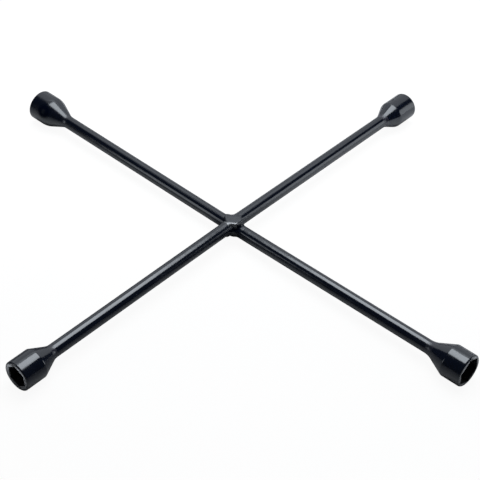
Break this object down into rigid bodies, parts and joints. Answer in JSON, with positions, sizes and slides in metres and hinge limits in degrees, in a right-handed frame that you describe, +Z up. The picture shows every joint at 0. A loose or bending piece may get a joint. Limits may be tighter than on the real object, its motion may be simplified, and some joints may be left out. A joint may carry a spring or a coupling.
{
  "type": "lug wrench",
  "caption": "Four-way cross lug wrench of round steel bar, with a different hexagon socket on each end for loosening and tightening wheel nuts.",
  "frame": {"origin": "the middle of the crossing, midway between the two bars and in the plane of the four mouths' centres", "axes": "+X along the cross bar to the 7/8 in socket, +Y along the through bar to the 3/4 in socket, +Z up from the surface the wrench lies on"},
  "size_m": [0.5082, 0.5082, 0.0292],
  "materials": {
    "black_finish": "gloss black finish over forged steel",
    "weld": "the same gloss black finish over weld metal"
  },
  "bodies": {
    "root": {"through_bar": "black_finish", "cross_bar": "black_finish", "socket_7_8": "black_finish", "socket_13_16": "black_finish", "socket_3_4": "black_finish", "socket_11_16": "black_finish", "neck_weld_7_8": "weld", "neck_weld_13_16": "weld", "neck_weld_3_4": "weld", "neck_weld_11_16": "weld", "centre_weld_top": "weld", "centre_weld_bottom": "weld"}
  },
  "joints": []
}
